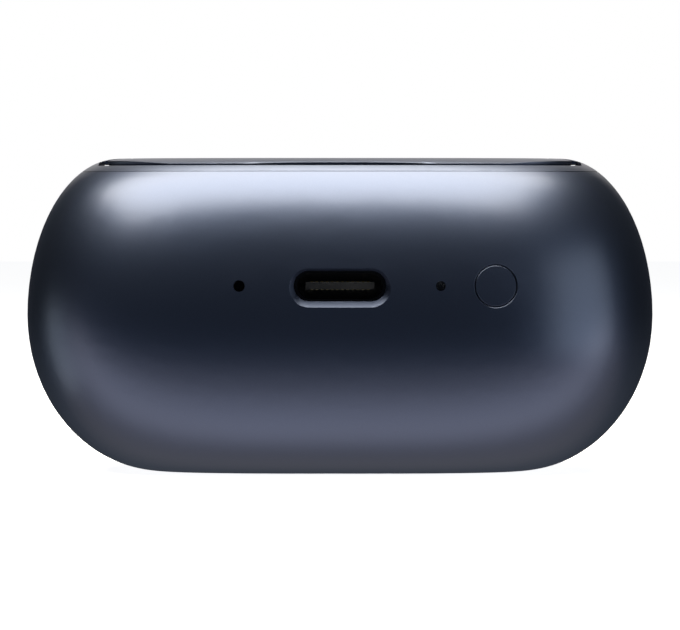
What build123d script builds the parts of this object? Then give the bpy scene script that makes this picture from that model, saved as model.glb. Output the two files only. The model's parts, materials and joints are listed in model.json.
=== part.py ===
"""A pebble-shaped charging case for wireless earbuds, in millimetres, +Z up.

The case stands on its flat underside. The face with the charging port looks along -Y, the lid
opens about a hinge beside that face, and the pairing button is towards +X.
"""

from build123d import *
from math import cos, pi, sin
import os

# ---- Overall form -------------------------------------------------------------------------
LENGTH = 63.0
DEPTH = 48.0
HEIGHT = 31.4
MID_Z = HEIGHT / 2
TOP_INSET = 9.1          # how far the upper edge rolls in, from the widest line to the flat top
BOTTOM_INSET = 13.5      # the same for the lower edge
PLAN_POWER = 3.0         # superellipse exponent of the plan outline
PLAN_POINTS = 32
ROLL_STEPS = 8           # sections from the widest line to the top, and again to the bottom
WALL = 1.5
OVER = 1.0               # how far a cutting tool runs past what it cuts
SEAM_GAP = 0.05          # open line between the bezel and the shell
SEAM_DEPTH_IN = 0.6      # how far the bezel still rests on the shell, outside the mouth
SCOOP_R = 9.0            # ball that cuts the thumb scoop
SCOOP_Y = 21.5
SCOOP_Z = HEIGHT + 6.4

# ---- Levels near the top ------------------------------------------------------------------
SLOT_HEIGHT = 0.18       # open line under the top panel's edge
EAVE_Z = HEIGHT - 0.56   # underside of that edge
BEZEL_TOP = EAVE_Z - SLOT_HEIGHT
BEZEL_BOTTOM = HEIGHT - 1.35
CRADLE_TOP = HEIGHT - 3.1
CRADLE_PLATE = 1.5
CRADLE_UNDER = CRADLE_TOP - CRADLE_PLATE
SKIRT_BOTTOM = CRADLE_TOP - 1.3
LID_UNDER = HEIGHT - 2.4

# ---- Nested outlines in plan: half length, half depth and corner radius ---------------------
OPENING = (23.5, 16.55, 13.5)            # inner wall of the bezel
EAVE_OVERHANG = 0.5
EAVE_GRIP = 0.35                         # open depth of the slot under the fixed hinge cover
SHOULDER_X = OPENING[0] + EAVE_OVERHANG + 0.12   # past here the bezel rises to the outer form
LID_GAP = 0.25
CRADLE_GAP = 0.3
MOUTH_MARGIN = 0.9                       # mouth of the shell outside the bezel's inner wall
SKIRT_FIT = 0.1
COVER_SKIN = 0.9                         # the fixed hinge cover is hollow underneath
COVER_WALL = 1.6

# ---- Hinge --------------------------------------------------------------------------------
BARREL_R = 1.3
BARREL_HALF = 20.6                       # the turning barrel, up to the panel's rounded corners
EAR_X = BARREL_HALF + 0.3                # the fixed cover reaches past the barrel's ends from here
PIN_R = 0.5
PIN_BORE_R = PIN_R + 0.06
PIN_HALF = 11.0
HINGE_Z = HEIGHT - BARREL_R - 0.03       # the barrel lies a hair below the flat top
COVER_EDGE_Y = -9.9                      # front edge of the fixed hinge cover
HINGE_GAP = 0.3
HINGE_Y = COVER_EDGE_Y + HINGE_GAP + BARREL_R
EAR_Y = HINGE_Y + 0.6                    # back end of those ears
LID_CORNER_X = BARREL_HALF + 0.05        # outside the barrel, the lid begins behind the ears
LID_CORNER_Y = HINGE_Y + 1.6             # far enough to swing over them
KNUCKLE_X = 7.5
KNUCKLE_HALF = 1.6
KNUCKLE_SIDE_GAP = 0.15
KNUCKLE_WEB = 1.0                        # half thickness of the web that carries a knuckle
BRACKET_Z = CRADLE_TOP - 0.9
BRACKET_THICKNESS = 0.7
BRACKET_HALF = 11.0
BRACKET_HALF_Y = 1.5
BRACKET_FIT = 0.1
HINGE_SCREW_X = 2.8
HINGE_SCREW_LENGTH = 2.2
HINGE_SCREW_HEAD = 0.4
HINGE_BOSS_R = 1.2
HINGE_BOSS_DROP = 2.0

# ---- Lid ----------------------------------------------------------------------------------
LID_RIM = 1.0
LID_SKIN = 0.9
LID_HINGE_WALL = 1.9                     # solid lid left in front of the barrel's axis
LINER_FIT = 0.1
LINER_UNDER = LID_UNDER + 0.1
LINER_TOP = HEIGHT - LID_SKIN - 0.05
LINER_FLOOR = 0.25                       # skin under the liner's magnet pockets
DISH_R = 7.4                             # hollows in the liner above the earbuds
DISH_DEPTH = 0.6
POCKET_FIT = 0.05
MAGNET_X = 3.6
MAGNET_Y = 12.3
MAGNET_HALF_X = 2.5
MAGNET_HALF_Y = 1.1
CRADLE_MAGNET_T = 2.0
SENSOR_MAGNET_Y = 8.6
SENSOR_MAGNET_R = 1.2
BUMPER_X = 8.0
BUMPER_Y = 15.4
BUMPER_R = 0.4
BUMPER_GAP = 0.02

# ---- Controls on the port face ---------------------------------------------------------------
PORT_Z = 18.85
PINHOLE_X = 9.82
BUTTON_X = 15.2
PORT_W = 9.02
PORT_H = 3.0
PORT_THROAT_Y = -23.25                   # where the port's bevel begins
PORT_BEVEL = 0.8                         # bevel growth per millimetre of depth
MIC_HOLE_R = 0.56
LIGHT_HOLE_R = 0.48
BUTTON_R = 2.01
BUTTON_HOLE_R = 2.08
BUTTON_CHAMFER = 0.08
BUTTON_CAP_Y = -19.6                     # inner end of the cap
BUTTON_COLLAR_R = 2.7
BUTTON_COLLAR = (-20.1, -19.4)           # ends of the collar that keeps the cap in
BUTTON_STEM_R = 0.8
HOLES_END_Y = -19.0                      # inner end of the holes through the port face

# ---- Charging socket, to the standard connector's sizes ---------------------------------------
USB_W = 8.94
USB_H = 3.16
USB_INNER_W = 8.34
USB_INNER_H = 2.56
USB_FRONT_Y = -22.1
USB_BACK_Y = -14.9
TONGUE_W = 6.69
TONGUE_H = 0.7
TONGUE_FRONT_Y = USB_FRONT_Y + 0.6
TONGUE_ROOT_Y = -17.1
CONTACT_PITCH = 0.5
CONTACTS_PER_SIDE = 12
CONTACT_HALF_W = 0.12
CONTACT_T = 0.06
CONTACT_LEAD = 0.5                       # bare tongue in front of the contacts
SLEEVE_BACK = 0.3
SOCKET_FIT = 0.2                         # the sleeve's play in the shell
BLOCK_FIT = 0.02                         # the tongue block's play in the sleeve

# ---- Main board ---------------------------------------------------------------------------------
BOARD_TOP = PORT_Z - USB_H / 2
BOARD_T = 0.8
BOARD_HALF = 18.6
BOARD_BACK_Y = -19.2
BOARD_FRONT_Y = -8.5
BOARD_POST = (13.6, -12.4)
BOARD_POST_R = 1.7
BOARD_CORNER_R = 1.5
BOARD_NOTCH = (BUTTON_X - 3.2, -18.4)    # corner cut away for the pairing button's collar

# ---- Parts on the board ----------------------------------------------------------------------
# centre x, centre y, half length, half depth, height
CHIPS = [(-5.0, -11.2, 2.5, 2.0, 0.8), (1.6, -11.4, 1.6, 1.6, 0.7), (6.6, -11.0, 1.4, 1.8, 1.2),
         (-9.6, -14.2, 1.0, 1.4, 0.9), (9.4, -14.6, 0.8, 0.8, 0.5)]
MIC_HALF = 1.5
MIC_Y = (-18.9, -17.7)
MIC_HEIGHT = 2.6
MIC_INLET_R = 0.3
MIC_INLET_END_Y = -18.4
BOOT_HALF = 1.4
BOOT_Y = (-21.2, -18.95)
BOOT_DUCT_R = 0.5
MESH_R = 0.48
MESH_Y = (-20.9, -20.8)
PIPE_R = LIGHT_HOLE_R - 0.04
PIPE_Y = (-22.2, -19.6)
PIPE_FOOT_R = 1.0
PIPE_FOOT_Y = -21.0
LED_HALF = 0.8
LED_Y = (-19.1, -17.9)
LED_ABOVE_AXIS = 0.6
SWITCH_FRONT_Y = -17.3
SWITCH_HALF = 1.75
SWITCH_DEPTH = 2.0
SWITCH_HEIGHT = 3.1
SWITCH_BORE_R = 0.83
SWITCH_BORE_DEPTH = 1.2
SWITCH_PLUNGER_R = 0.75
SWITCH_PLUNGER = (-0.5, 0.6)             # its ends, from the switch's front face

# ---- Earbud wells ---------------------------------------------------------------------------
WELL_X = 10.6
WELL_Y = 2.2
WELL_R = 8.0
WELL_FLOOR = 14.2
WELL_WALL = 0.9
WELL_FILLET = 2.5
STEM_W = 5.6
STEM_END_Y = 13.6
STEM_FLOOR = 19.0

# ---- Charging contacts in the wells ------------------------------------------------------------
CONTACT_DX = 1.8
CONTACT_Y = 0.2
BARREL_OUT_R = 0.9
BARREL_BORE_R = 0.57
PLUNGER_R = 0.5
PLUNGER_PROUD = 0.7
CONTACT_BOARD_Z = 11.6
CONTACT_BOARD_T = 0.6
CONTACT_BOARD_TOP = CONTACT_BOARD_Z + CONTACT_BOARD_T
CONTACT_BOARD_HALF = 14.6
CONTACT_BOARD_Y = (-4.0, 10.4)
CONTACT_FIT = 0.05
BARREL_FLOOR = 0.2
BARREL_PROUD = 0.1
PLUNGER_START = 0.75                     # above the board, over the spring
PLUNGER_ROUND = 0.3
EARBUD_MAGNET_R = 2.4
EARBUD_MAGNET_T = 1.0
EARBUD_MAGNET_Y = WELL_Y + 3.6
SENSOR_HALF = 0.8
SENSOR_T = 0.6
FLEX_T = 0.15
FLEX_HALF = 1.5
FLEX_FRONT_Y = -7.6                      # where the board's flat cable turns upward
FLEX_TAIL_Y = -10.6
SENSOR_FLEX_HALF = 1.3
SENSOR_FLEX_Y = (7.9, 9.7)               # under the sensor, and where the cable turns down

# ---- Posts and screws ------------------------------------------------------------------------
POSTS = [(17.4, 10.8), (-17.4, 10.8), (17.4, -6.6), (-17.4, -6.6)]
POST_R = 1.6
PILOT_R = 0.55
SCREW_R = 0.5
SCREW_HEAD_R = 1.1
SCREW_LENGTH = 5.0
SCREW_HEAD = 0.6
SCREW_FIT = 0.15
HEAD_FIT = 0.1
HEAD_SINK = 0.7
RECESS_DEPTH = 0.3
RECESS_HALF_W = 0.12
RECESS_REACH = 0.66

# ---- Battery and coil -------------------------------------------------------------------------
BATTERY = (29.0, 19.0, 5.4)
COIL_OUT_R = 10.0
COIL_IN_R = 4.6
COIL_Z = WALL + 0.1
COIL_T = 0.6
FERRITE_T = 0.4
FOAM_T = 0.5
BATTERY_Z = COIL_Z + COIL_T + FERRITE_T + FOAM_T
BATTERY_CORNER_R = 1.5
COIL_TURNS = 9
COIL_SPACE = 0.08                        # bare space between turns
FERRITE_HALF = 10.4
FOAM_HALF = (8.0, 7.0)
LEAD_X = (6.0, 8.4)
LEAD_Y = (-10.2, -8.4, -6.0)             # at the board, at the bend and at the cell
LEAD_T = 0.3


# ---- Helpers ----------------------------------------------------------------------------------
def box(x0, x1, y0, y1, z0, z1):
    """A block between two corners."""
    centre = ((x0 + x1) / 2, (y0 + y1) / 2, (z0 + z1) / 2)
    return Pos(*centre) * Box(abs(x1 - x0), abs(y1 - y0), abs(z1 - z0))


def plate(outline, z0, z1, grow=0.0):
    """A rounded rectangle (half length, half depth, corner radius), grown evenly, as a slab."""
    half_x, half_y, radius = (value + grow for value in outline)
    profile = RectangleRounded(2 * half_x, 2 * half_y, radius)
    return extrude(Pos(0, 0, z0) * profile, z1 - z0)


def post(x, y, radius, z0, z1):
    """An upright cylinder."""
    return Pos(x, y, (z0 + z1) / 2) * Cylinder(radius, z1 - z0)


def along_x(radius, x0, x1, y, z):
    """A cylinder that lies along X."""
    return Pos((x0 + x1) / 2, y, z) * Rot(0, 90, 0) * Cylinder(radius, x1 - x0)


def along_y(radius, x, y0, y1, z):
    """A cylinder that lies along Y."""
    return Pos(x, (y0 + y1) / 2, z) * Rot(90, 0, 0) * Cylinder(radius, y1 - y0)


def port_slot(width, height, y0, y1):
    """A slot with round ends that runs along Y, centred on the charging port."""
    plane = Plane(origin=(0, y1, PORT_Z), x_dir=(1, 0, 0), z_dir=(0, -1, 0))
    return extrude(plane * SlotOverall(width, height), y1 - y0)


def port_frustum(width, height, y0, y1, growth):
    """The same slot opening out towards the outside, y1 being the inner end."""
    inner = Plane(origin=(0, y1, PORT_Z), x_dir=(1, 0, 0), z_dir=(0, -1, 0))
    outer = Plane(origin=(0, y0, PORT_Z), x_dir=(1, 0, 0), z_dir=(0, -1, 0))
    extra = 2 * growth * (y1 - y0)
    ends = Sketch() + inner * SlotOverall(width, height)
    ends += outer * SlotOverall(width + extra, height + extra)
    return loft(ends.faces())


def fuse(pieces):
    """One solid from several that touch."""
    result = pieces[0]
    for piece in pieces[1:]:
        result = result + piece
    return result


def save(name, shapes):
    """Writes one node. Several solids in one node are kept apart."""
    if isinstance(shapes, (list, tuple)):
        shapes = Compound(children=[part.solid() for part in shapes])
    export_step(shapes, "parts/" + name + ".step")


# ---- Outer form ---------------------------------------------------------------------------------
def plan_section(half_x, half_y, z):
    """The superellipse outline of the case at one level."""
    points = []
    for index in range(PLAN_POINTS):
        angle = 2 * pi * index / PLAN_POINTS
        reach = (abs(cos(angle)) ** PLAN_POWER + abs(sin(angle)) ** PLAN_POWER) ** (-1 / PLAN_POWER)
        points.append((half_x * reach * cos(angle), half_y * reach * sin(angle), z))
    return Wire([Edge.make_spline(points, periodic=True)])


def pebble(inset):
    """The case's closed form, drawn in by an even wall thickness."""
    sections = []
    for step in range(-ROLL_STEPS, ROLL_STEPS + 1):
        angle = step / ROLL_STEPS * pi / 2
        roll = TOP_INSET if step > 0 else BOTTOM_INSET
        pull = roll - (roll - inset) * cos(angle)
        z = MID_Z + (MID_Z - inset) * sin(angle)
        sections.append(plan_section(LENGTH / 2 - pull, DEPTH / 2 - pull, z))
    return Solid.make_loft(sections)


FORM = pebble(0)
HOLLOW = pebble(WALL)


def scoop():
    """The thumb scoop at the front of the opening."""
    return Pos(0, SCOOP_Y, SCOOP_Z) * Sphere(SCOOP_R)


def softened(shape, radius):
    """The shape with a chamfer round the outer end of the button, or of its hole."""
    def is_mouth(edge):
        bounds = edge.bounding_box()
        return bounds.min.Y < WALL - DEPTH / 2 and abs(bounds.size.X - 2 * radius) < BUTTON_CHAMFER / 2
    return chamfer([edge for edge in shape.edges() if is_mouth(edge)], BUTTON_CHAMFER)


# ---- Case body ------------------------------------------------------------------------------------
def outer_shell():
    """The cup that carries everything: posts inside, controls through the port face."""
    hole = along_y(BUTTON_HOLE_R, BUTTON_X, -DEPTH / 2 - OVER, HOLES_END_Y, PORT_Z)
    cup = softened(FORM - HOLLOW - hole, BUTTON_HOLE_R)
    posts = [post(x, y, POST_R, WALL, CRADLE_UNDER) for x, y in POSTS]
    board_x, board_y = BOARD_POST
    for side in (1, -1):
        posts.append(post(side * board_x, board_y, BOARD_POST_R, WALL, BOARD_TOP - BOARD_T))
    cup = fuse([cup] + [piece & FORM for piece in posts])
    for x, y in POSTS:
        cup -= post(x, y, PILOT_R, CRADLE_UNDER - SCREW_LENGTH - OVER, CRADLE_UNDER + OVER)
    for side in (1, -1):
        cup -= post(side * board_x, board_y, PILOT_R, BOARD_TOP - SCREW_LENGTH - OVER, BOARD_TOP)
    cup -= box(-LENGTH, LENGTH, -DEPTH, DEPTH, BEZEL_BOTTOM, HEIGHT + OVER)
    cup -= plate(OPENING, CRADLE_UNDER, HEIGHT, MOUTH_MARGIN)
    cup -= port_slot(PORT_W, PORT_H, PORT_THROAT_Y - OVER, USB_FRONT_Y)
    cup -= port_slot(USB_W + SOCKET_FIT, USB_H + SOCKET_FIT, USB_FRONT_Y - SOCKET_FIT / 4, USB_BACK_Y)
    cup -= port_frustum(PORT_W, PORT_H, -DEPTH / 2 - OVER, PORT_THROAT_Y, PORT_BEVEL)
    for x, radius in ((-PINHOLE_X, MIC_HOLE_R), (PINHOLE_X, LIGHT_HOLE_R)):
        cup -= along_y(radius, x, -DEPTH / 2 - OVER, HOLES_END_Y, PORT_Z)
    return cup - scoop()


def top_bezel():
    """The ring round the opening, with a skirt that locates it in the shell."""
    ring = FORM & box(-LENGTH, LENGTH, -DEPTH, DEPTH, BEZEL_BOTTOM, HEIGHT + OVER)
    ring -= box(-SHOULDER_X, SHOULDER_X, -DEPTH, DEPTH, BEZEL_TOP, HEIGHT + OVER)
    ring += plate(OPENING, SKIRT_BOTTOM, BEZEL_BOTTOM + SEAM_GAP * 2, MOUTH_MARGIN - SKIRT_FIT)
    ring -= plate(OPENING, SKIRT_BOTTOM - OVER, HEIGHT + OVER)
    seam = box(-LENGTH, LENGTH, -DEPTH, DEPTH, BEZEL_BOTTOM, BEZEL_BOTTOM + SEAM_GAP)
    ring -= seam - plate(OPENING, 0, HEIGHT, MOUTH_MARGIN + SEAM_DEPTH_IN)
    ring -= scoop()
    return ring


def cover_zone():
    """Where the fixed cover lies in plan: a strip before the hinge and an ear past each end of it."""
    zone = box(-LENGTH, LENGTH, -DEPTH, COVER_EDGE_Y, 0, HEIGHT + OVER)
    for side in (-1, 1):
        zone += box(side * EAR_X, side * LENGTH, -DEPTH, EAR_Y, 0, HEIGHT + OVER)
    return zone


def hinge_cover():
    """The fixed strip that closes the top over the hinge, between the bezel and the lid."""
    zone = cover_zone()
    eave = plate(OPENING, EAVE_Z, HEIGHT + 1, EAVE_OVERHANG) & zone & FORM
    foot = plate(OPENING, BEZEL_TOP, EAVE_Z, EAVE_OVERHANG - EAVE_GRIP)
    web = plate(OPENING, CRADLE_TOP, EAVE_Z, -LID_GAP) - plate(OPENING, 0, EAVE_Z - COVER_SKIN, -COVER_WALL)
    return eave + (foot & zone) + (web & zone)


def well_solid(side, grow, floor_drop):
    """An earbud well as a solid: the round cup and the slot for the stem."""
    centre = side * WELL_X
    cup = post(centre, WELL_Y, WELL_R + grow, WELL_FLOOR - floor_drop, CRADLE_TOP + OVER)
    floor_edge = cup.edges().sort_by(Axis.Z)[0]
    cup = fillet(floor_edge, WELL_FILLET)
    half = STEM_W / 2 + grow
    slot = box(centre - half, centre + half, WELL_Y, STEM_END_Y + grow,
               STEM_FLOOR - floor_drop, CRADLE_TOP + OVER)
    return cup + slot


def contact_points():
    """Where the charging contacts stand."""
    return [(side * WELL_X + offset, CONTACT_Y)
            for side in (-1, 1) for offset in (-CONTACT_DX, CONTACT_DX)]


def cradle():
    """The tray that holds the earbuds."""
    tray = plate(OPENING, CRADLE_UNDER, CRADLE_TOP, -CRADLE_GAP)
    for side in (-1, 1):
        tray += well_solid(side, WELL_WALL, WELL_WALL)
    tray -= box(-LENGTH, LENGTH, -DEPTH, DEPTH, CRADLE_TOP, HEIGHT + OVER)
    for side in (-1, 1):
        tray -= well_solid(side, 0, 0)
    for x, y in contact_points():
        tray -= post(x, y, BARREL_OUT_R + CONTACT_FIT, WELL_FLOOR - 2 * OVER, WELL_FLOOR + 2 * OVER)
    for x, y in POSTS:
        tray -= post(x, y, SCREW_R + SCREW_FIT, CRADLE_UNDER - OVER, CRADLE_TOP + OVER)
        tray -= post(x, y, SCREW_HEAD_R + HEAD_FIT, CRADLE_TOP - HEAD_SINK, CRADLE_TOP + OVER)
    half_x = BRACKET_HALF + BRACKET_FIT
    half_y = BRACKET_HALF_Y + BRACKET_FIT
    tray -= box(-half_x, half_x, HINGE_Y - half_y, HINGE_Y + half_y, BRACKET_Z, CRADLE_TOP + OVER)
    boss_z = CRADLE_UNDER - HINGE_BOSS_DROP
    for side in (-1, 1):
        x = side * HINGE_SCREW_X
        tray += post(x, HINGE_Y, HINGE_BOSS_R, boss_z, CRADLE_UNDER + BRACKET_FIT)
        tray -= post(x, HINGE_Y, SCREW_R, boss_z + HINGE_SCREW_HEAD, CRADLE_TOP + OVER)
    return tray


def hinge_bracket():
    """Base plate and the two fixed knuckles."""
    pieces = [box(-BRACKET_HALF, BRACKET_HALF, HINGE_Y - BRACKET_HALF_Y, HINGE_Y + BRACKET_HALF_Y,
                  BRACKET_Z, BRACKET_Z + BRACKET_THICKNESS)]
    for side in (-1, 1):
        x0 = side * KNUCKLE_X - KNUCKLE_HALF
        x1 = side * KNUCKLE_X + KNUCKLE_HALF
        pieces.append(box(x0, x1, HINGE_Y - KNUCKLE_WEB, HINGE_Y + KNUCKLE_WEB, BRACKET_Z, HINGE_Z))
        pieces.append(along_x(BARREL_R, x0, x1, HINGE_Y, HINGE_Z))
    bracket = fuse(pieces)
    bracket -= along_x(PIN_R, -PIN_HALF, PIN_HALF, HINGE_Y, HINGE_Z)
    for side in (-1, 1):
        x = side * HINGE_SCREW_X
        bracket -= post(x, HINGE_Y, SCREW_R + HEAD_FIT, BRACKET_Z - OVER, BRACKET_Z + 2 * OVER)
    return bracket


def screw(x, y, top, length, head_height=SCREW_HEAD):
    """A small pan-head screw, standing upright, with a cross recess."""
    head = post(x, y, SCREW_HEAD_R, top - head_height, top)
    shank = post(x, y, SCREW_R, top - head_height - length, top - head_height)
    recess = []
    for half_x, half_y in ((RECESS_REACH, RECESS_HALF_W), (RECESS_HALF_W, RECESS_REACH)):
        recess.append(box(x - half_x, x + half_x, y - half_y, y + half_y, top - RECESS_DEPTH, top + OVER))
    return head + shank - fuse(recess)


# ---- Lid --------------------------------------------------------------------------------------------
def knuckle_notch(side):
    """The space the lid leaves round one fixed knuckle."""
    x0 = side * KNUCKLE_X - KNUCKLE_HALF - KNUCKLE_SIDE_GAP
    x1 = side * KNUCKLE_X + KNUCKLE_HALF + KNUCKLE_SIDE_GAP
    return box(x0, x1, -DEPTH, HINGE_Y + BARREL_R + HINGE_GAP, 0, HEIGHT + OVER)


def lid_cover():
    """The outer lid plate: proud edge, rim below it and the turning barrel."""
    front = box(-LENGTH, LENGTH, HINGE_Y, DEPTH, 0, HEIGHT + OVER)
    skin = plate(OPENING, EAVE_Z, HEIGHT + 1, EAVE_OVERHANG) & FORM & front
    rim = plate(OPENING, LID_UNDER, HEIGHT - LID_SKIN / 2, -LID_GAP) & front
    hollow = plate(OPENING, LID_UNDER - OVER, HEIGHT - LID_SKIN, -LID_GAP - LID_RIM)
    hollow -= box(-LENGTH, LENGTH, -DEPTH, HINGE_Y + LID_HINGE_WALL, 0, HEIGHT)
    barrel = along_x(BARREL_R, -BARREL_HALF, BARREL_HALF, HINGE_Y, HINGE_Z)
    cover = skin + rim - hollow + barrel
    for side in (-1, 1):
        cover -= knuckle_notch(side)
        cover -= box(side * LID_CORNER_X, side * LENGTH, -DEPTH, LID_CORNER_Y, 0, HEIGHT + OVER)
    end = PIN_HALF + KNUCKLE_SIDE_GAP
    return cover - along_x(PIN_BORE_R, -end, end, HINGE_Y, HINGE_Z)


def lid_magnet_places():
    """Where the closing magnets sit, in the lid and under the cradle's front edge."""
    return [(side * MAGNET_X, MAGNET_Y) for side in (-1, 1)]


def lid_liner():
    """The inner lid panel with hollows above the earbuds and pockets for the magnets."""
    liner = plate(OPENING, LINER_UNDER, LINER_TOP, -LID_GAP - LID_RIM - LINER_FIT)
    liner -= box(-LENGTH, LENGTH, -DEPTH, HINGE_Y + LID_HINGE_WALL + LINER_FIT, 0, HEIGHT)
    for side in (-1, 1):
        liner -= post(side * WELL_X, WELL_Y, DISH_R, LINER_UNDER - OVER, LINER_UNDER + DISH_DEPTH)
    pocket = LINER_UNDER + LINER_FLOOR
    for x, y in lid_magnet_places():
        liner -= magnet_block(x, y, pocket, HEIGHT, POCKET_FIT)
    return liner - post(0, SENSOR_MAGNET_Y, SENSOR_MAGNET_R + POCKET_FIT, pocket, HEIGHT)


def magnet_block(x, y, z0, z1, grow=0.0):
    """A bar magnet, or its pocket."""
    half_x = MAGNET_HALF_X + grow
    half_y = MAGNET_HALF_Y + grow
    return box(x - half_x, x + half_x, y - half_y, y + half_y, z0, z1)


def lid_bumpers():
    """Soft dots under the lid's rim that meet the cradle."""
    return [post(x, BUMPER_Y, BUMPER_R, CRADLE_TOP + BUMPER_GAP, LID_UNDER)
            for x in (-BUMPER_X, BUMPER_X)]


# ---- Charging socket -----------------------------------------------------------------------------------
def usb_receptacle_shell():
    """The socket's steel sleeve, closed at the back."""
    sleeve = port_slot(USB_W, USB_H, USB_FRONT_Y, USB_BACK_Y)
    return sleeve - port_slot(USB_INNER_W, USB_INNER_H, USB_FRONT_Y - OVER, USB_BACK_Y - SLEEVE_BACK)


def usb_tongue():
    """The moulded tongue and the block it grows from."""
    block = port_slot(USB_INNER_W - BLOCK_FIT, USB_INNER_H - BLOCK_FIT,
                      TONGUE_ROOT_Y, USB_BACK_Y - SLEEVE_BACK - BLOCK_FIT)
    tongue = box(-TONGUE_W / 2, TONGUE_W / 2, TONGUE_FRONT_Y, TONGUE_ROOT_Y + SLEEVE_BACK,
                 PORT_Z - TONGUE_H / 2, PORT_Z + TONGUE_H / 2)
    return block + tongue


def usb_contacts():
    """Twelve flat contacts on each face of the tongue."""
    pads = []
    for index in range(CONTACTS_PER_SIDE):
        x = (index - (CONTACTS_PER_SIDE - 1) / 2) * CONTACT_PITCH
        for face in (-1, 1):
            z = PORT_Z + face * TONGUE_H / 2
            pads.append(box(x - CONTACT_HALF_W, x + CONTACT_HALF_W, TONGUE_FRONT_Y + CONTACT_LEAD,
                            TONGUE_ROOT_Y - BLOCK_FIT, z, z + face * CONTACT_T))
    return pads


# ---- Board and what it carries ----------------------------------------------------------------------
def main_board():
    """The circuit board under the socket."""
    board = box(-BOARD_HALF, BOARD_HALF, BOARD_BACK_Y, BOARD_FRONT_Y, BOARD_TOP - BOARD_T, BOARD_TOP)
    corners = board.edges().filter_by(Axis.Z)
    board = fillet(corners, BOARD_CORNER_R)
    notch_x, notch_y = BOARD_NOTCH
    board -= box(notch_x, BOARD_HALF + OVER, BOARD_BACK_Y - OVER, notch_y, 0, HEIGHT)
    board_x, board_y = BOARD_POST
    for side in (-1, 1):
        board -= post(side * board_x, board_y, SCREW_R + SCREW_FIT, BOARD_TOP - 2 * OVER, BOARD_TOP + OVER)
    return board


def board_chips():
    """Controller, charger and power parts on the board."""
    return [box(x - half_x, x + half_x, y - half_y, y + half_y, BOARD_TOP, BOARD_TOP + height)
            for x, y, half_x, half_y, height in CHIPS]


def microphone():
    """The microphone can, standing on the board behind its pinhole."""
    can = box(-PINHOLE_X - MIC_HALF, -PINHOLE_X + MIC_HALF, *MIC_Y, BOARD_TOP, BOARD_TOP + MIC_HEIGHT)
    return can - along_y(MIC_INLET_R, -PINHOLE_X, MIC_Y[0] - OVER, MIC_INLET_END_Y, PORT_Z)


def microphone_boot():
    """The rubber duct between the pinhole and the microphone."""
    boot = box(-PINHOLE_X - BOOT_HALF, -PINHOLE_X + BOOT_HALF, *BOOT_Y,
               PORT_Z - BOOT_HALF, PORT_Z + BOOT_HALF)
    return boot - along_y(BOOT_DUCT_R, -PINHOLE_X, BOOT_Y[0] - OVER, BOOT_Y[1] + OVER, PORT_Z)


def microphone_mesh():
    """The fine mesh disc that closes the duct."""
    return along_y(MESH_R, -PINHOLE_X, *MESH_Y, PORT_Z)


def light_pipe():
    """The clear pipe that carries the status light to its pinhole."""
    pipe = along_y(PIPE_R, PINHOLE_X, *PIPE_Y, PORT_Z)
    foot = along_y(PIPE_FOOT_R, PINHOLE_X, PIPE_FOOT_Y, PIPE_Y[1], PORT_Z)
    return pipe + foot


def status_led():
    """The lamp behind the light pipe."""
    return box(PINHOLE_X - LED_HALF, PINHOLE_X + LED_HALF, *LED_Y, BOARD_TOP, PORT_Z + LED_ABOVE_AXIS)


def tactile_switch():
    """The switch body behind the pairing button."""
    body = box(BUTTON_X - SWITCH_HALF, BUTTON_X + SWITCH_HALF, SWITCH_FRONT_Y,
               SWITCH_FRONT_Y + SWITCH_DEPTH, BOARD_TOP, BOARD_TOP + SWITCH_HEIGHT)
    return body - along_y(SWITCH_BORE_R, BUTTON_X, SWITCH_FRONT_Y - OVER,
                          SWITCH_FRONT_Y + SWITCH_BORE_DEPTH, PORT_Z)


def switch_plunger():
    """The part of the switch that the button pushes."""
    start, end = SWITCH_PLUNGER
    return along_y(SWITCH_PLUNGER_R, BUTTON_X, SWITCH_FRONT_Y + start, SWITCH_FRONT_Y + end, PORT_Z)


def pairing_button():
    """A flush round cap whose face follows the case, with a collar inside the wall."""
    cap = along_y(BUTTON_R, BUTTON_X, -DEPTH / 2 - OVER, BUTTON_CAP_Y, PORT_Z) & FORM
    collar = along_y(BUTTON_COLLAR_R, BUTTON_X, *BUTTON_COLLAR, PORT_Z)
    stem = along_y(BUTTON_STEM_R, BUTTON_X, BUTTON_CAP_Y, SWITCH_FRONT_Y + SWITCH_PLUNGER[0], PORT_Z)
    return softened(cap, BUTTON_R) + collar + stem


# ---- Contacts under the wells ------------------------------------------------------------------------
def contact_board():
    """The flexible board under the wells."""
    return box(-CONTACT_BOARD_HALF, CONTACT_BOARD_HALF, *CONTACT_BOARD_Y,
               CONTACT_BOARD_Z, CONTACT_BOARD_TOP)


def contact_barrels():
    """The four sleeves of the sprung contacts."""
    floor = CONTACT_BOARD_TOP + BARREL_FLOOR
    top = WELL_FLOOR + BARREL_PROUD
    sleeves = []
    for x, y in contact_points():
        sleeve = post(x, y, BARREL_OUT_R, CONTACT_BOARD_TOP, top)
        sleeves.append(sleeve - post(x, y, BARREL_BORE_R, floor, top + OVER))
    return sleeves


def contact_plunger(x, y):
    """One sprung contact, with a domed tip."""
    rod = post(x, y, PLUNGER_R, CONTACT_BOARD_TOP + PLUNGER_START, WELL_FLOOR + PLUNGER_PROUD)
    tip = rod.edges().sort_by(Axis.Z)[-1]
    return fillet(tip, PLUNGER_ROUND)


def earbud_magnets():
    """The discs that draw each earbud into its well."""
    top = CONTACT_BOARD_TOP + EARBUD_MAGNET_T
    return [post(side * WELL_X, EARBUD_MAGNET_Y, EARBUD_MAGNET_R, CONTACT_BOARD_TOP, top)
            for side in (-1, 1)]


def cradle_magnets():
    """The closing magnets glued under the cradle's front edge."""
    return [magnet_block(x, y, CRADLE_UNDER - CRADLE_MAGNET_T, CRADLE_UNDER)
            for x, y in lid_magnet_places()]


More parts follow.
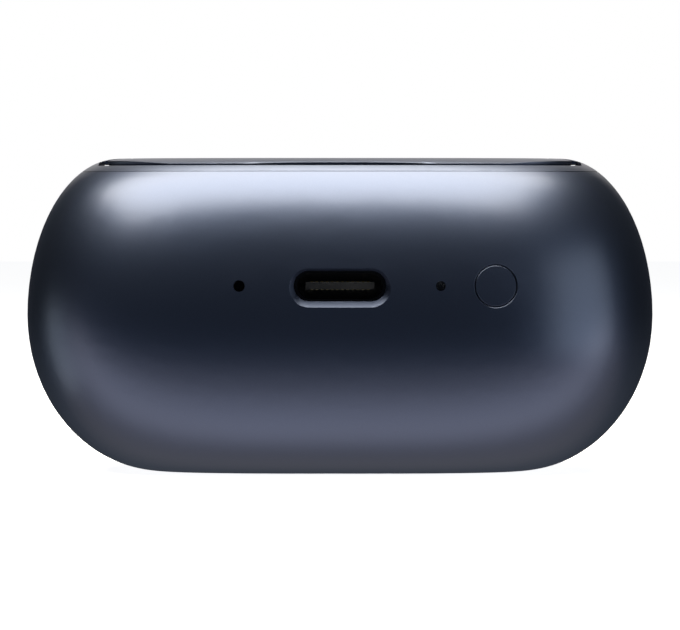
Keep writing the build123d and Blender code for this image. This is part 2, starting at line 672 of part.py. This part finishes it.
def hall_sensor():
    """The chip that senses the lid's small magnet."""
    return box(-SENSOR_HALF, SENSOR_HALF, SENSOR_MAGNET_Y - SENSOR_HALF,
               SENSOR_MAGNET_Y + SENSOR_HALF, CRADLE_UNDER - SENSOR_T, CRADLE_UNDER)


def sensor_flex():
    """The flat cable from the sensor down to the contact board."""
    start, bend = SENSOR_FLEX_Y
    top = CRADLE_UNDER - SENSOR_T
    upright = box(-SENSOR_FLEX_HALF, SENSOR_FLEX_HALF, bend, bend + FLEX_T, CONTACT_BOARD_TOP, top)
    shelf = box(-SENSOR_FLEX_HALF, SENSOR_FLEX_HALF, start, bend + FLEX_T, top - FLEX_T, top)
    return upright + shelf


def board_flex():
    """The flat cable from the contact board to the main board."""
    start = CONTACT_BOARD_TOP - 2 * FLEX_T
    end = BOARD_TOP - BOARD_T
    bend = FLEX_FRONT_Y + FLEX_T
    low = box(-FLEX_HALF, FLEX_HALF, FLEX_FRONT_Y, CONTACT_BOARD_Y[0], start, start + FLEX_T)
    upright = box(-FLEX_HALF, FLEX_HALF, FLEX_FRONT_Y, bend, start, end)
    tail = box(-FLEX_HALF, FLEX_HALF, FLEX_TAIL_Y, bend, end - FLEX_T, end)
    return low + upright + tail


# ---- Power ---------------------------------------------------------------------------------------------
def battery_cell():
    """The pouch cell."""
    length, depth, height = BATTERY
    cell = box(-length / 2, length / 2, -depth / 2, depth / 2, BATTERY_Z, BATTERY_Z + height)
    return fillet(cell.edges().filter_by(Axis.Z), BATTERY_CORNER_R)


def battery_foam():
    """The pad between the cell and the ferrite sheet."""
    half_x, half_y = FOAM_HALF
    return box(-half_x, half_x, -half_y, half_y, BATTERY_Z - FOAM_T, BATTERY_Z)


def battery_lead():
    """The two-wire lead from the cell to the board, as a flat strip."""
    top = BATTERY_Z + BATTERY[2]
    end = BOARD_TOP - BOARD_T
    at_board, bend, at_cell = LEAD_Y
    low = box(*LEAD_X, bend, at_cell, top, top + LEAD_T)
    upright = box(*LEAD_X, bend, bend + LEAD_T, top, end - LEAD_T)
    tail = box(*LEAD_X, at_board, bend + LEAD_T, end - LEAD_T, end)
    return low + upright + tail


def charging_coil():
    """The wireless charging coil: concentric turns of flat wire."""
    pitch = (COIL_OUT_R - COIL_IN_R) / COIL_TURNS
    rings = []
    for index in range(COIL_TURNS):
        inner = COIL_IN_R + index * pitch
        ring = post(0, 0, inner + pitch - COIL_SPACE, COIL_Z, COIL_Z + COIL_T)
        rings.append(ring - post(0, 0, inner, COIL_Z - OVER, COIL_Z + COIL_T + OVER))
    return rings


def ferrite_sheet():
    """The sheet that keeps the coil's field off the cell."""
    return box(-FERRITE_HALF, FERRITE_HALF, -FERRITE_HALF, FERRITE_HALF,
               COIL_Z + COIL_T, COIL_Z + COIL_T + FERRITE_T)


# ---- Write every node -------------------------------------------------------------------------------------
def main():
    """Builds the nodes and writes one file each."""
    os.makedirs("parts", exist_ok=True)
    board_x, board_y = BOARD_POST
    save("outer_shell", outer_shell())
    save("top_bezel", top_bezel())
    save("hinge_cover", hinge_cover())
    save("cradle", cradle())
    save("hinge_bracket", hinge_bracket())
    save("hinge_pin", along_x(PIN_R, -PIN_HALF, PIN_HALF, HINGE_Y, HINGE_Z))
    save("hinge_screws", [screw(side * HINGE_SCREW_X, HINGE_Y,
                                BRACKET_Z + BRACKET_THICKNESS + HINGE_SCREW_HEAD,
                                HINGE_SCREW_LENGTH, HINGE_SCREW_HEAD) for side in (-1, 1)])
    save("cradle_screws", [screw(x, y, CRADLE_TOP, SCREW_LENGTH) for x, y in POSTS])
    save("board_screws", [screw(side * board_x, board_y, BOARD_TOP + SCREW_HEAD, SCREW_LENGTH)
                          for side in (-1, 1)])
    save("lid_cover", lid_cover())
    save("lid_liner", lid_liner())
    save("lid_magnets", [magnet_block(x, y, LINER_UNDER + LINER_FLOOR, LINER_TOP)
                         for x, y in lid_magnet_places()])
    save("sensor_magnet", post(0, SENSOR_MAGNET_Y, SENSOR_MAGNET_R,
                               LINER_UNDER + LINER_FLOOR, LINER_TOP))
    save("lid_bumpers", lid_bumpers())
    save("usb_receptacle_shell", usb_receptacle_shell())
    save("usb_tongue", usb_tongue())
    save("usb_contacts", usb_contacts())
    save("main_board", main_board())
    save("board_chips", board_chips())
    save("microphone", microphone())
    save("microphone_boot", microphone_boot())
    save("microphone_mesh", microphone_mesh())
    save("light_pipe", light_pipe())
    save("status_led", status_led())
    save("tactile_switch", tactile_switch())
    save("switch_plunger", switch_plunger())
    save("pairing_button", pairing_button())
    save("contact_board", contact_board())
    save("contact_barrels", contact_barrels())
    for name, (x, y) in zip(("left_outer", "left_inner", "right_inner", "right_outer"),
                            contact_points()):
        save("contact_" + name, contact_plunger(x, y))
    save("earbud_magnets", earbud_magnets())
    save("cradle_magnets", cradle_magnets())
    save("hall_sensor", hall_sensor())
    save("sensor_flex", sensor_flex())
    save("board_flex", board_flex())
    save("battery_cell", battery_cell())
    save("battery_foam", battery_foam())
    save("battery_lead", battery_lead())
    save("charging_coil", charging_coil())
    save("ferrite_sheet", ferrite_sheet())


main()
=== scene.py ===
"""The earbuds case's looks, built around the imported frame. All lengths are in metres."""

import json
import math

import bpy
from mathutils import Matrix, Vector


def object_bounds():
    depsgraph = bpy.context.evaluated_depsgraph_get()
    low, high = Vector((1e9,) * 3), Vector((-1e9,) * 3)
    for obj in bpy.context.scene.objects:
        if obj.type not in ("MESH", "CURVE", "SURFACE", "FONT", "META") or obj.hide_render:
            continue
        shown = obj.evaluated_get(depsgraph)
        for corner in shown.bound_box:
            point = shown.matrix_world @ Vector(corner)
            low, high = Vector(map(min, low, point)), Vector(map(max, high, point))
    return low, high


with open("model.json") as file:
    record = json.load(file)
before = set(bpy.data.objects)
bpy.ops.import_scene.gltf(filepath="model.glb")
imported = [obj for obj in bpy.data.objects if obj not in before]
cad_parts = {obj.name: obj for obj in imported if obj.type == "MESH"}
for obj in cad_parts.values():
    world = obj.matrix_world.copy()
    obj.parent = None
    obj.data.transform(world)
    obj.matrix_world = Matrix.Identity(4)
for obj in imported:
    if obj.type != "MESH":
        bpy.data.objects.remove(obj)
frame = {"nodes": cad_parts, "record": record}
NODES = frame["nodes"]
CAD_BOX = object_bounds()
LOW, HIGH = Vector(CAD_BOX[0]), Vector(CAD_BOX[1])
CENTRE = (LOW + HIGH) / 2

# ---- Camera --------------------------------------------------------------------------------------
CAMERA_DISTANCE = 0.6
CAMERA_ELEVATION = math.radians(1.0)
VIEW_WIDTH = 0.0689                      # what the frame's width covers at the case's middle
AIM_BELOW_CENTRE = 0.00008
SENSOR_MM = 36.0

# ---- Surroundings --------------------------------------------------------------------------------
# What the surroundings show in the finish, by the angle up from the horizon in front of the case:
# 90 is overhead, above that is behind, and negative angles are below.
SURROUND = [(-180, 0.012), (-150, 0.10), (-128, 0.34), (-105, 0.40), (-85, 1.30), (-62, 1.0), (-45, 0.50),
            (-28, 0.16), (-12, 0.075), (25, 0.055), (45, 0.05), (180, 0.012)]
SURROUND_TINT = (0.78, 0.96, 1.26)
FLOOR_TINT = (0.98, 0.96, 1.04)          # the tint between the floor's angles, the next line
FLOOR_ANGLES = (-140, -40)
FLOOR_REACH = 2.5                        # from the case to the floor's edge
FLOOR_GLOW = 0.93
WHITE = (1.0, 1.0, 1.0)

# ---- Lights --------------------------------------------------------------------------------------
OVERHEAD_OFFSET = (-0.09, -0.03, 0.45)   # from the case's centre
OVERHEAD_SIZE = (0.68, 0.46)
OVERHEAD_WATTS = 7.2
OVERHEAD_COLOUR = (1.0, 0.955, 0.855)
LOW_LIGHT_DISTANCE = 0.7
LOW_LIGHTS = [                           # name, azimuth, elevation, size, watts and colour
    ("right_fill", 68, 2, (0.55, 0.60), 1.15, (0.85, 0.93, 1.0)),
    ("left_fill", -108, -14, (0.30, 0.40), 0.26, (0.85, 0.95, 1.0)),
    ("back_card", 180, 30, (0.40, 0.60), 0.40, (1.0, 0.96, 0.95)),
]

# ---- Edges ---------------------------------------------------------------------------------------
PANEL_EDGE_BREAK = 0.00022
BREAK_SEGMENTS = 2
SHARP_ANGLE = math.radians(24)
WELD_REACH = 0.000001
WEAR_SAMPLES = 4
WEAR_FULL, WEAR_NONE = 0.75, 0.98        # how alike the rounded and the plain normal are
WEAR_PATCHES = 2500.0                    # patches per metre
METAL_EDGE = 0.00004                     # the width that wears along an edge
PLASTIC_EDGE = 0.00008
METAL_WEAR = (1.8, 0.02)                 # the worn colour is the light one times this, plus this
PLASTIC_WEAR = (1.6, 0.01)

# ---- Surfaces ------------------------------------------------------------------------------------
BLAST_GRAIN = 11000.0                    # features per metre, as all scales of noise here
METAL_CLOUDS = 90.0
PLASTIC_CLOUDS = 160.0
METAL_STAINS = 250.0
FLOOR_CLOUDS = 8.0
SHELL_DYE = {"dark": (0.013, 0.030, 0.080), "light": (0.020, 0.041, 0.098), "roughness": 0.41}
TRIM_DYE = {"dark": (0.017, 0.034, 0.083), "light": (0.025, 0.046, 0.102), "roughness": 0.38}

# ---- A colour mix node's sockets -----------------------------------------------------------------
MIX_FACTOR, MIX_FIRST, MIX_SECOND = 0, 6, 7
MIX_RESULT = 2


# ---- Node helpers --------------------------------------------------------------------------------
def opaque(colour):
    """A colour with full alpha for a socket; a node's output is passed through."""
    return colour if isinstance(colour, bpy.types.NodeSocket) else (*colour, 1.0)


class Graph:
    """A node tree, emptied, with a few short ways of adding nodes to it."""

    def __init__(self, tree):
        self.tree = tree
        self.tree.nodes.clear()

    def node(self, kind, inputs, output, **settings):
        """Adds a node, fills or links its inputs, and gives back one of its outputs."""
        node = self.tree.nodes.new(kind)
        for key, value in settings.items():
            setattr(node, key, value)
        for key, value in inputs.items():
            if isinstance(value, bpy.types.NodeSocket):
                self.tree.links.new(value, node.inputs[key])
            else:
                node.inputs[key].default_value = value
        return node.outputs[output]

    def end(self, kind, surface):
        """Adds the output node that shows a shader."""
        output = self.tree.nodes.new(kind)
        self.tree.links.new(surface, output.inputs["Surface"])

    def span(self, value, low, high, start=0.0, end=1.0):
        """Maps a value between start and end to low..high."""
        inputs = {"Value": value, "From Min": start, "From Max": end, "To Min": low, "To Max": high}
        return self.node("ShaderNodeMapRange", inputs, "Result")

    def mix(self, factor, first, second):
        """A colour between two others, by a value."""
        inputs = {MIX_FACTOR: factor, MIX_FIRST: opaque(first), MIX_SECOND: opaque(second)}
        return self.node("ShaderNodeMix", inputs, MIX_RESULT, data_type="RGBA")


class Finish(Graph):
    """A new material: one principled shader and the nodes that feed it."""

    def __init__(self, name):
        self.material = bpy.data.materials.new(name)
        self.material.use_nodes = True
        super().__init__(self.material.node_tree)
        self.shader = self.tree.nodes.new("ShaderNodeBsdfPrincipled")
        self.end("ShaderNodeOutputMaterial", self.shader.outputs[0])
        self.place = self.node("ShaderNodeTexCoord", {}, "Object")

    def set(self, **values):
        """Sets sockets of the shader; an underscore stands for a space."""
        for key, value in values.items():
            self.shader.inputs[key.replace("_", " ")].default_value = value

    def link(self, source, socket):
        """Joins an output to one of the shader's sockets."""
        self.tree.links.new(source, self.shader.inputs[socket])

    def noise(self, scale, detail=2.0, where=None):
        """A noise value from 0 to 1; scale is in features per metre."""
        inputs = {"Vector": where or self.place, "Scale": scale, "Detail": detail}
        return self.node("ShaderNodeTexNoise", inputs, "Fac")

    def cells(self, scale):
        """The distance to the nearest point of a random pattern."""
        return self.node("ShaderNodeTexVoronoi", {"Vector": self.place, "Scale": scale}, "Distance")

    def stretched(self, x, y, z):
        """Object coordinates scaled by axis, for brushed or drawn grain."""
        return self.node("ShaderNodeMapping", {"Vector": self.place, "Scale": (x, y, z)}, "Vector")

    def worn_edges(self, radius, colour, worn):
        """A colour that turns to a worn one along sharp edges, in patches."""
        rounded = self.node("ShaderNodeBevel", {"Radius": radius}, "Normal", samples=WEAR_SAMPLES)
        plain = self.node("ShaderNodeNewGeometry", {}, "Normal")
        alike = self.node("ShaderNodeVectorMath", {0: rounded, 1: plain}, "Value", operation="DOT_PRODUCT")
        edge = self.span(alike, 1.0, 0.0, start=WEAR_FULL, end=WEAR_NONE)
        patchy = self.span(self.noise(WEAR_PATCHES), 0.0, 1.0, start=0.35, end=0.65)
        amount = self.node("ShaderNodeMath", {0: edge, 1: patchy}, 0, operation="MULTIPLY")
        return self.mix(amount, colour, worn)

    def bump(self, height, strength, distance):
        """A bump from a height value, linked to the shader."""
        inputs = {"Height": height, "Strength": strength, "Distance": distance}
        self.link(self.node("ShaderNodeBump", inputs, "Normal"), "Normal")


def worn_colour(colour, wear):
    """The colour of a surface where it has worn."""
    gain, lift = wear
    return tuple(value * gain + lift for value in colour)


# ---- Materials -----------------------------------------------------------------------------------
def dyed_metal(name, dark, light, roughness):
    """Bead-blasted, dyed metal: a fine sparkle, slightly uneven colour and gloss, a satin seal."""
    finish = Finish(name)
    sparkle = finish.noise(BLAST_GRAIN, detail=1.0)
    cloud = finish.noise(METAL_CLOUDS, detail=3.0)
    tint = finish.mix(finish.span(sparkle, 0.1, 0.9, start=0.3, end=0.7), dark, light)
    finish.link(finish.worn_edges(METAL_EDGE, tint, worn_colour(light, METAL_WEAR)), "Base Color")
    finish.link(finish.span(cloud, roughness - 0.02, roughness + 0.02), "Roughness")
    finish.set(Metallic=1.0, Coat_Weight=1.0, Coat_Roughness=0.34, Coat_IOR=1.8)
    finish.bump(sparkle, strength=0.18, distance=0.000012)
    return finish.material


def shell_paint():
    return dyed_metal("shell_paint", **SHELL_DYE)


def trim_paint():
    return dyed_metal("trim_paint", **TRIM_DYE)


def lid_paint():
    return dyed_metal("lid_paint", **SHELL_DYE)


def moulded(name, dark, light, roughness, grain, depth):
    """Moulded plastic or rubber with a fine texture."""
    finish = Finish(name)
    texture = finish.noise(grain)
    cloud = finish.noise(PLASTIC_CLOUDS, detail=3.0)
    tint = finish.mix(finish.span(cloud, 0.0, 1.0, start=0.3, end=0.7), dark, light)
    finish.link(finish.worn_edges(PLASTIC_EDGE, tint, worn_colour(light, PLASTIC_WEAR)), "Base Color")
    finish.link(finish.span(cloud, roughness - 0.05, roughness + 0.05), "Roughness")
    finish.bump(texture, strength=0.5, distance=depth)
    return finish.material


def cradle_plastic():
    return moulded("cradle_plastic", dark=(0.020, 0.024, 0.036), light=(0.030, 0.035, 0.050),
                   roughness=0.50, grain=5000.0, depth=0.00002)


def black_plastic():
    return moulded("black_plastic", dark=(0.007, 0.007, 0.008), light=(0.014, 0.014, 0.016),
                   roughness=0.55, grain=6000.0, depth=0.00001)


def bumper_rubber():
    return moulded("bumper_rubber", dark=(0.020, 0.020, 0.023), light=(0.034, 0.034, 0.038),
                   roughness=0.80, grain=3500.0, depth=0.00003)


def lamp_white():
    return moulded("lamp_white", dark=(0.78, 0.77, 0.70), light=(0.88, 0.87, 0.82),
                   roughness=0.30, grain=4000.0, depth=0.000005)


def ferrite():
    return moulded("ferrite", dark=(0.045, 0.043, 0.045), light=(0.075, 0.072, 0.075),
                   roughness=0.62, grain=2500.0, depth=0.00003)


def drawn_metal(name, dark, light, roughness, stretch):
    """Bare metal with a fine grain, drawn out along the axis that is scaled least."""
    finish = Finish(name)
    lines = finish.noise(1.0, detail=3.0, where=finish.stretched(*stretch))
    stain = finish.noise(METAL_STAINS, detail=4.0)
    finish.link(finish.mix(finish.span(lines, 0.0, 1.0, start=0.25, end=0.75), dark, light), "Base Color")
    gloss = finish.span(stain, roughness - 0.06, roughness + 0.08, start=0.25, end=0.75)
    finish.link(gloss, "Roughness")
    finish.set(Metallic=1.0)
    finish.bump(lines, strength=0.3, distance=0.000006)
    return finish.material


def steel():
    return drawn_metal("steel", dark=(0.26, 0.26, 0.28), light=(0.36, 0.36, 0.38),
                       roughness=0.34, stretch=(900, 12000, 12000))


def dark_steel():
    return drawn_metal("dark_steel", dark=(0.020, 0.020, 0.022), light=(0.032, 0.032, 0.035),
                       roughness=0.45, stretch=(900, 9000, 9000))


def magnet():
    return drawn_metal("magnet", dark=(0.60, 0.60, 0.62), light=(0.70, 0.70, 0.71),
                       roughness=0.16, stretch=(3000, 3000, 3000))


def contact_gold():
    return drawn_metal("contact_gold", dark=(0.80, 0.56, 0.22), light=(0.90, 0.68, 0.33),
                       roughness=0.22, stretch=(9000, 9000, 900))


def copper():
    return drawn_metal("copper", dark=(0.62, 0.27, 0.13), light=(0.78, 0.38, 0.20),
                       roughness=0.30, stretch=(2500, 2500, 9000))


def board_green():
    """Solder mask over faint tracks, with a slightly mottled gloss."""
    finish = Finish("board_green")
    bricks = {"Vector": finish.place, "Color1": (0, 0, 0, 1), "Color2": (0.3, 0.3, 0.3, 1),
              "Mortar": (1, 1, 1, 1), "Scale": 900.0, "Mortar Size": 0.07, "Row Height": 0.5}
    tracks = finish.node("ShaderNodeTexBrick", bricks, "Fac")
    mottle = finish.noise(700.0, detail=3.0)
    base = finish.mix(mottle, (0.012, 0.085, 0.045), (0.020, 0.125, 0.065))
    finish.link(finish.mix(tracks, base, (0.035, 0.20, 0.10)), "Base Color")
    finish.link(finish.span(mottle, 0.25, 0.42), "Roughness")
    finish.bump(tracks, strength=0.4, distance=0.00002)
    return finish.material


def flex_amber():
    """Amber film over copper tracks."""
    finish = Finish("flex_amber")
    waves = {"Vector": finish.place, "Scale": 420.0, "Distortion": 0.0}
    tracks = finish.node("ShaderNodeTexWave", waves, "Fac", bands_direction="X")
    lit = finish.span(tracks, 0.0, 1.0, start=0.45, end=0.60)
    finish.link(finish.mix(lit, (0.36, 0.15, 0.025), (0.60, 0.30, 0.08)), "Base Color")
    finish.link(finish.span(finish.noise(900.0), 0.22, 0.38), "Roughness")
    finish.set(Coat_Weight=0.5, Coat_Roughness=0.12)
    finish.bump(lit, strength=0.4, distance=0.00001)
    return finish.material


def clear():
    """The smoky light pipe, a little cloudy inside."""
    finish = Finish("clear")
    cloud = finish.noise(1800.0, detail=3.0)
    finish.link(finish.mix(cloud, (0.018, 0.022, 0.030), (0.045, 0.052, 0.065)), "Base Color")
    finish.link(finish.span(cloud, 0.10, 0.24), "Roughness")
    finish.set(Transmission_Weight=0.25, IOR=1.49)
    finish.bump(cloud, strength=0.15, distance=0.00001)
    return finish.material


def pouch():
    """The cell's foil pouch, softly wrinkled."""
    finish = Finish("pouch")
    wrinkle = finish.noise(260.0, detail=4.0)
    fine = finish.noise(3000.0)
    finish.link(finish.mix(wrinkle, (0.46, 0.46, 0.48), (0.62, 0.62, 0.63)), "Base Color")
    finish.link(finish.span(fine, 0.24, 0.44), "Roughness")
    finish.set(Metallic=0.9)
    finish.bump(wrinkle, strength=0.6, distance=0.0001)
    return finish.material


def foam():
    """Open-cell pad."""
    finish = Finish("foam")
    pores = finish.cells(3200.0)
    finish.link(finish.mix(pores, (0.03, 0.03, 0.03), (0.10, 0.10, 0.10)), "Base Color")
    finish.link(finish.span(pores, 0.80, 0.95), "Roughness")
    finish.bump(pores, strength=0.8, distance=0.00008)
    return finish.material


MAKERS = [shell_paint, trim_paint, lid_paint, cradle_plastic, black_plastic, bumper_rubber,
          lamp_white, ferrite, steel, dark_steel, magnet, contact_gold, copper, board_green,
          flex_amber, clear, pouch, foam]


def finish_all():
    """Gives each node the material of its slot in the record."""
    made = {maker.__name__: maker() for maker in MAKERS}
    for part in frame["record"]["subparts"]:
        mesh = NODES[part["node"]].data
        mesh.materials.clear()
        mesh.materials.append(made[part["material_slot"]])


def soften_panel():
    """Rounds the sharp edges of the top panel's two halves, as the real edge is broken."""
    for name in ("hinge_cover", "lid_cover"):
        weld = NODES[name].modifiers.new("join_faces", "WELD")
        weld.merge_threshold = WELD_REACH
        bevel = NODES[name].modifiers.new("edge_break", "BEVEL")
        bevel.harden_normals = False
        bevel.width = PANEL_EDGE_BREAK
        bevel.segments = BREAK_SEGMENTS
        bevel.limit_method = "ANGLE"
        bevel.angle_limit = SHARP_ANGLE


# ---- Stage ---------------------------------------------------------------------------------------
def area_light(name, place, target, size, watts, colour):
    """A rectangular softbox that faces a target."""
    data = bpy.data.lights.new(name, "AREA")
    data.shape = "RECTANGLE"
    data.size, data.size_y = size
    data.energy = watts
    data.color = colour
    light = bpy.data.objects.new(name, data)
    light.location = place
    light.rotation_euler = (Vector(target) - Vector(place)).to_track_quat("-Z", "Y").to_euler()
    bpy.context.scene.collection.objects.link(light)
    return light


def around(azimuth, elevation, distance):
    """A place round the case: azimuth 0 is in front of the port face, 90 is on its right."""
    turn, rise = math.radians(azimuth), math.radians(elevation)
    level = Vector((math.sin(turn), -math.cos(turn), 0)) * math.cos(rise)
    return CENTRE + (level + Vector((0, 0, math.sin(rise)))) * distance


def add_lights():
    """A wide softbox overhead, two weak ones at the sides and a card behind for the top's edge."""
    above = CENTRE + Vector(OVERHEAD_OFFSET)
    straight_down = above - Vector((0, 0, 1))
    area_light("overhead", above, straight_down, OVERHEAD_SIZE, OVERHEAD_WATTS, OVERHEAD_COLOUR)
    for name, azimuth, elevation, size, watts, colour in LOW_LIGHTS:
        place = around(azimuth, elevation, LOW_LIGHT_DISTANCE)
        light = area_light(name, place, CENTRE, size, watts, colour)
        light.visible_camera = name != "back_card"     # the card stands behind the case


def add_camera():
    """A long lens just above level, square to the port face."""
    data = bpy.data.cameras.new("camera")
    data.sensor_width = SENSOR_MM
    data.lens = SENSOR_MM * CAMERA_DISTANCE / VIEW_WIDTH
    camera = bpy.data.objects.new("camera", data)
    back = Vector((0, -math.cos(CAMERA_ELEVATION), math.sin(CAMERA_ELEVATION)))
    camera.location = CENTRE - Vector((0, 0, AIM_BELOW_CENTRE)) + back * CAMERA_DISTANCE
    camera.rotation_euler = (-back).to_track_quat("-Z", "Y").to_euler()
    bpy.context.scene.collection.objects.link(camera)
    bpy.context.scene.camera = camera


def add_floor():
    """A plain pale floor under the case, which its finish doesn't mirror."""
    mesh = bpy.data.meshes.new("floor")
    corners = [(-1, -1), (1, -1), (1, 1), (-1, 1)]
    mesh.from_pydata([(x * FLOOR_REACH, y * FLOOR_REACH, LOW.z) for x, y in corners], [], [(0, 1, 2, 3)])
    floor = bpy.data.objects.new("floor", mesh)
    bpy.context.scene.collection.objects.link(floor)
    finish = Finish("floor_white")
    cloud = finish.noise(FLOOR_CLOUDS)
    finish.link(finish.mix(cloud, (0.92, 0.92, 0.92), (0.95, 0.95, 0.95)), "Base Color")
    finish.set(Roughness=0.9, Emission_Color=opaque(WHITE), Emission_Strength=FLOOR_GLOW)
    mesh.materials.append(finish.material)
    floor.visible_glossy = False


def surround_colour(graph, place):
    """The surroundings' colour at a place from 0 to 1 along SURROUND."""
    ramp = graph.tree.nodes.new("ShaderNodeValToRGB")
    graph.tree.links.new(place, ramp.inputs["Fac"])
    stops = ramp.color_ramp.elements
    first, last = SURROUND[0][0], SURROUND[-1][0]
    for degrees, _ in SURROUND[1:-1]:
        stops.new((degrees - first) / (last - first))
    for stop, (degrees, level) in zip(stops, SURROUND):
        tints = FLOOR_TINT if FLOOR_ANGLES[0] < degrees < FLOOR_ANGLES[1] else SURROUND_TINT
        stop.color = opaque(level * tint for tint in tints)
    return ramp.outputs["Color"]


def add_world():
    """White behind the case; in its finish, a dim room that brightens towards the floor."""
    world = bpy.data.worlds.new("studio")
    bpy.context.scene.world = world
    world.use_nodes = True
    graph = Graph(world.node_tree)
    direction = graph.node("ShaderNodeTexCoord", {}, "Generated")
    up = graph.node("ShaderNodeSeparateXYZ", {0: direction}, "Z")
    back = graph.node("ShaderNodeSeparateXYZ", {0: direction}, "Y")
    front = graph.node("ShaderNodeMath", {0: back, 1: -1.0}, 0, operation="MULTIPLY")
    angle = graph.node("ShaderNodeMath", {0: up, 1: front}, 0, operation="ARCTAN2")
    place = graph.span(angle, 0.0, 1.0, start=-math.pi, end=math.pi)
    mirrored = graph.node("ShaderNodeBackground", {"Color": surround_colour(graph, place)}, 0)
    seen = graph.node("ShaderNodeBackground", {"Color": opaque(WHITE)}, 0)
    by_camera = graph.node("ShaderNodeLightPath", {}, "Is Camera Ray")
    shown = graph.node("ShaderNodeMixShader", {0: by_camera, 1: mirrored, 2: seen}, 0)
    graph.end("ShaderNodeOutputWorld", shown)


bpy.context.scene.view_settings.view_transform = "Standard"
finish_all()
soften_panel()
add_camera()
add_floor()
add_world()
add_lights()

bpy.context.view_layer.update()
